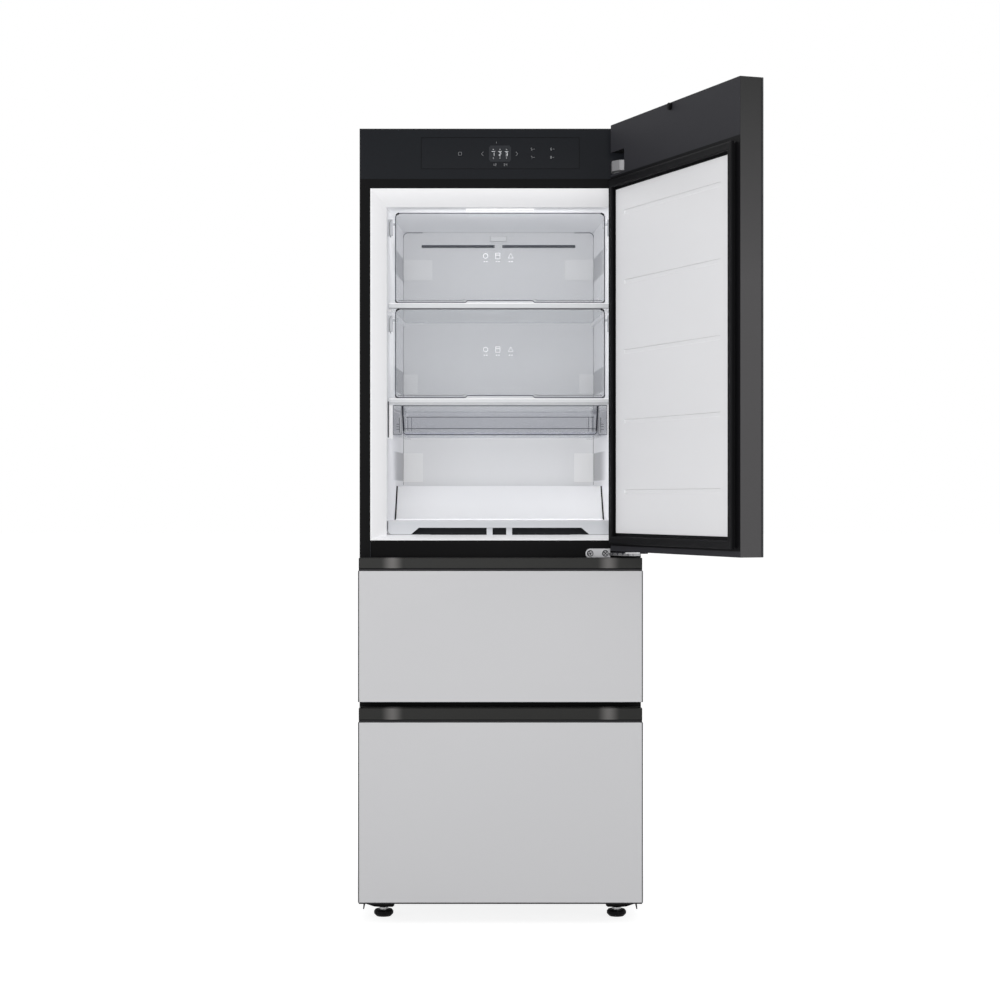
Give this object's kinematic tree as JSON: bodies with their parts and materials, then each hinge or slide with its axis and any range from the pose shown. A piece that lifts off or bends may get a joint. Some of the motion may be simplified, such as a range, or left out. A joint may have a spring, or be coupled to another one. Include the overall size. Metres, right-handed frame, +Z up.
{
  "type": "kimchi refrigerator",
  "caption": "Upright kimchi refrigerator with an upper compartment behind a side-hinged door and two pull-out drawers below.",
  "frame": {"origin": "on the floor, in the middle of the cabinet width and in the plane of the front frame", "axes": "+X to the viewer's right, +Y to the back, +Z up"},
  "size_m": [0.8748, 1.3444, 1.87],
  "materials": {
    "case_steel": "dark satin paint",
    "galvanised_steel": "galvanised",
    "foam": "rigid foam, matte",
    "liner_white": "smooth, semi-gloss",
    "frame_black": "satin black",
    "fascia_charcoal": "smooth charcoal",
    "display_glass": "smoked gloss",
    "board_green": "circuit board",
    "aluminium": "fins",
    "grey_plastic": "plain",
    "lamp": "frosted, lit",
    "shelf_glass": "clear",
    "trim_white": "semi-gloss",
    "smoked_clear": "translucent smoke",
    "clear_plastic": "clear",
    "hinge_metal": "satin plated",
    "compressor_black": "black paint",
    "rubber_black": "soft",
    "front_panel": "fine satin silver",
    "strip_metal": "dark brushed",
    "body_dark": "satin"
  },
  "bodies": {
    "cabinet": {"outer_case": "case_steel", "back_panel": "galvanised_steel", "base_plate": "galvanised_steel", "insulation": "foam", "upper_liner": "liner_white", "middle_liner": "liner_white", "lower_liner": "liner_white", "front_frame": "frame_black", "control_panel": "fascia_charcoal", "display_glass": "display_glass", "control_board": "board_green", "duct_cover": "liner_white", "evaporator": "aluminium", "fan_motors": "grey_plastic", "ceiling_lamp": "lamp", "shelf_plates": "shelf_glass", "shelf_trims": "trim_white", "wall_brackets": "trim_white", "tray_runners": "clear_plastic", "floor_tray": "trim_white", "return_grille": "body_dark", "rear_step_cover": "liner_white", "top_hinge": "hinge_metal", "bottom_hinge": "hinge_metal", "hinge_screws": "hinge_metal", "leg_brackets": "frame_black", "compressor": "compressor_black", "condenser": "aluminium", "drip_tray": "grey_plastic", "machine_cover": "galvanised_steel", "cord_gland": "rubber_black", "fixed_rails": "galvanised_steel"},
    "door": {"door_panel": "front_panel", "door_frame": "body_dark", "door_foam": "foam", "door_liner": "liner_white", "door_gasket": "rubber_black", "door_peg": "rubber_black"},
    "upper_guard": {"upper_guard": "smoked_clear"},
    "lower_guard": {"lower_guard": "smoked_clear"},
    "clear_tray": {"clear_tray": "clear_plastic"},
    "middle_drawer": {"middle_front_panel": "front_panel", "middle_handle_strip": "strip_metal", "middle_front_body": "body_dark", "middle_gasket": "rubber_black", "middle_bin": "liner_white", "middle_bin_rails": "galvanised_steel"},
    "middle_slides": {"middle_slide_rails": "galvanised_steel"},
    "lower_drawer": {"lower_front_panel": "front_panel", "lower_handle_strip": "strip_metal", "lower_front_body": "body_dark", "lower_gasket": "rubber_black", "lower_bin": "liner_white", "lower_bin_rails": "galvanised_steel"},
    "lower_slides": {"lower_slide_rails": "galvanised_steel"},
    "evaporator_fan": {"evaporator_fan": "grey_plastic"},
    "condenser_fan": {"condenser_fan": "grey_plastic"},
    "left_foot": {"left_foot": "rubber_black"},
    "right_foot": {"right_foot": "rubber_black"},
    "rear_rollers": {"rear_rollers": "body_dark"}
  },
  "joints": [
    {"name": "door_hinge", "type": "hinge", "parent": "cabinet", "child": "door", "pos_m": [0.3073, -0.057, 1.37], "axis": [0, 0, 1], "range_deg": [-110.5, 9.5]},
    {"name": "upper_guard_hinge", "type": "hinge", "parent": "cabinet", "child": "upper_guard", "pos_m": [0, 0.06, 1.65], "axis": [-1, 0, 0], "range_deg": [0, 85]},
    {"name": "lower_guard_hinge", "type": "hinge", "parent": "cabinet", "child": "lower_guard", "pos_m": [0, 0.06, 1.421], "axis": [-1, 0, 0], "range_deg": [0, 85]},
    {"name": "clear_tray_slide", "type": "slide", "parent": "cabinet", "child": "clear_tray", "axis": [0, -1, 0], "range_m": [0, 0.3]},
    {"name": "middle_drawer_slide", "type": "slide", "parent": "cabinet", "child": "middle_drawer", "axis": [0, -1, 0], "range_m": [0, 0.39]},
    {"name": "middle_rails_slide", "type": "slide", "parent": "cabinet", "child": "middle_slides", "axis": [0, -1, 0], "range_m": [0, 0.195]},
    {"name": "lower_drawer_slide", "type": "slide", "parent": "cabinet", "child": "lower_drawer", "axis": [0, -1, 0], "range_m": [0, 0.39]},
    {"name": "lower_rails_slide", "type": "slide", "parent": "cabinet", "child": "lower_slides", "axis": [0, -1, 0], "range_m": [0, 0.195]},
    {"name": "evaporator_fan_spin", "type": "hinge", "parent": "cabinet", "child": "evaporator_fan", "pos_m": [0, 0.566, 1.5165], "axis": [0, -1, 0], "continuous": true},
    {"name": "condenser_fan_spin", "type": "hinge", "parent": "cabinet", "child": "condenser_fan", "pos_m": [-0.064, 0.565, 0.14], "axis": [-1, 0, 0], "continuous": true},
    {"name": "left_foot_turn", "type": "hinge", "parent": "cabinet", "child": "left_foot", "pos_m": [-0.2775, 0.04, 0], "axis": [0, 0, 1], "continuous": true},
    {"name": "right_foot_turn", "type": "hinge", "parent": "cabinet", "child": "right_foot", "pos_m": [0.2775, 0.04, 0], "axis": [0, 0, 1], "continuous": true},
    {"name": "rear_rollers_roll", "type": "hinge", "parent": "cabinet", "child": "rear_rollers", "pos_m": [0, 0.62, 0.018], "axis": [1, 0, 0], "continuous": true}
  ],
  "couplings": [
    {"joint": "middle_rails_slide", "follows": "middle_drawer_slide", "ratio": 0.5},
    {"joint": "lower_rails_slide", "follows": "lower_drawer_slide", "ratio": 0.5}
  ]
}
